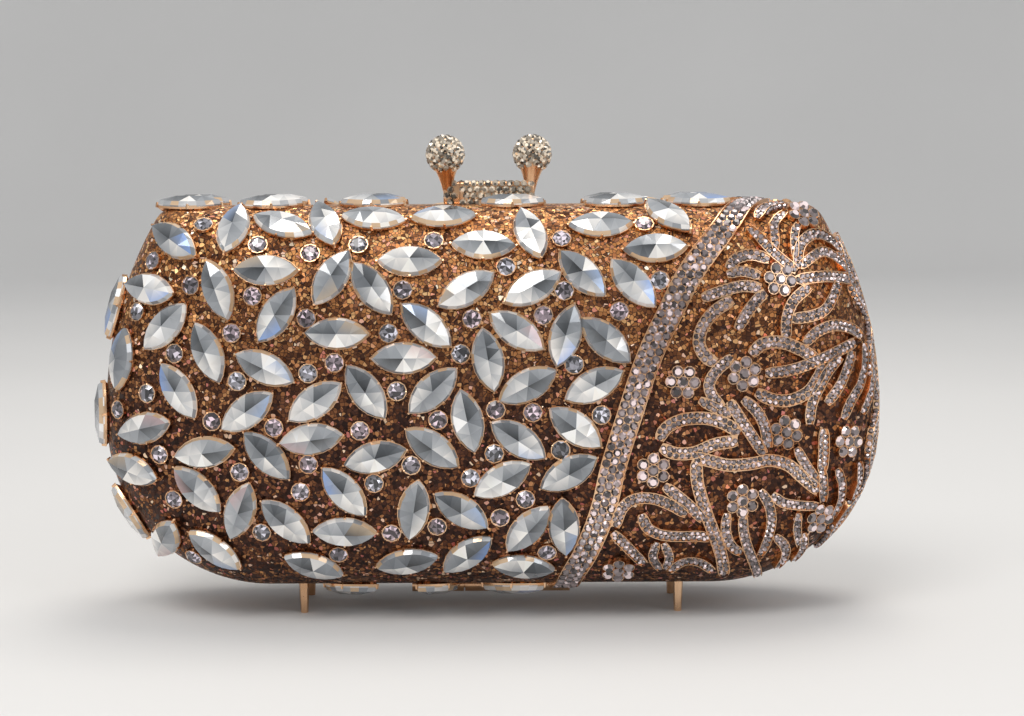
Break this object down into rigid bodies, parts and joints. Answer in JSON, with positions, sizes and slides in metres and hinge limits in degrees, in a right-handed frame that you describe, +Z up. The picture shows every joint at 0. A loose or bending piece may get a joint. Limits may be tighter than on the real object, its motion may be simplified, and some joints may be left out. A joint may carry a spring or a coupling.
{
  "type": "minaudiere",
  "caption": "Hard oblong evening clutch in two hinged domed halves set with marquise and round stones, a paved band, openwork leaves and a kiss-lock clasp with paved balls.",
  "frame": {"origin": "on the table, midway between the feet, under the split between the halves", "axes": "+X along the clasp edge to the viewer's right, -Y out of the front half, +Z up"},
  "size_m": [0.1761, 0.059, 0.1064],
  "materials": {
    "glitter_shell": "copper glitter",
    "satin_lining": "satin",
    "rose_gold": "polished rose gold plate",
    "pave": "set with small stones all over",
    "clear_crystal": "cut and foil-backed",
    "lilac_crystal": "cut and foil-backed"
  },
  "bodies": {
    "front_half": {"front_case_shell": "glitter_shell", "front_lining": "satin_lining", "front_rim_frame": "rose_gold", "front_marquise_settings": "rose_gold", "front_marquise_stones": "clear_crystal", "front_chaton_stones": "lilac_crystal", "front_pave_band": "pave", "front_leaf_loops": "rose_gold", "front_flower_clusters": "lilac_crystal", "front_feet": "rose_gold", "front_hinge_leaf": "rose_gold", "front_clasp_arm": "rose_gold", "front_clasp_ball": "pave", "hinge_pin": "rose_gold", "chain_lugs": "rose_gold"},
    "back_half": {"back_case_shell": "glitter_shell", "back_lining": "satin_lining", "back_rim_frame": "rose_gold", "back_marquise_settings": "rose_gold", "back_marquise_stones": "clear_crystal", "back_chaton_stones": "lilac_crystal", "back_pave_band": "pave", "back_leaf_loops": "rose_gold", "back_flower_clusters": "lilac_crystal", "back_feet": "rose_gold", "back_hinge_leaf": "rose_gold", "back_clasp_arm": "rose_gold", "back_clasp_ball": "pave"}
  },
  "joints": [
    {"name": "case_hinge", "type": "hinge", "parent": "front_half", "child": "back_half", "pos_m": [0, 0, 0.0043], "axis": [-1, 0, 0], "range_deg": [0, 60]}
  ]
}
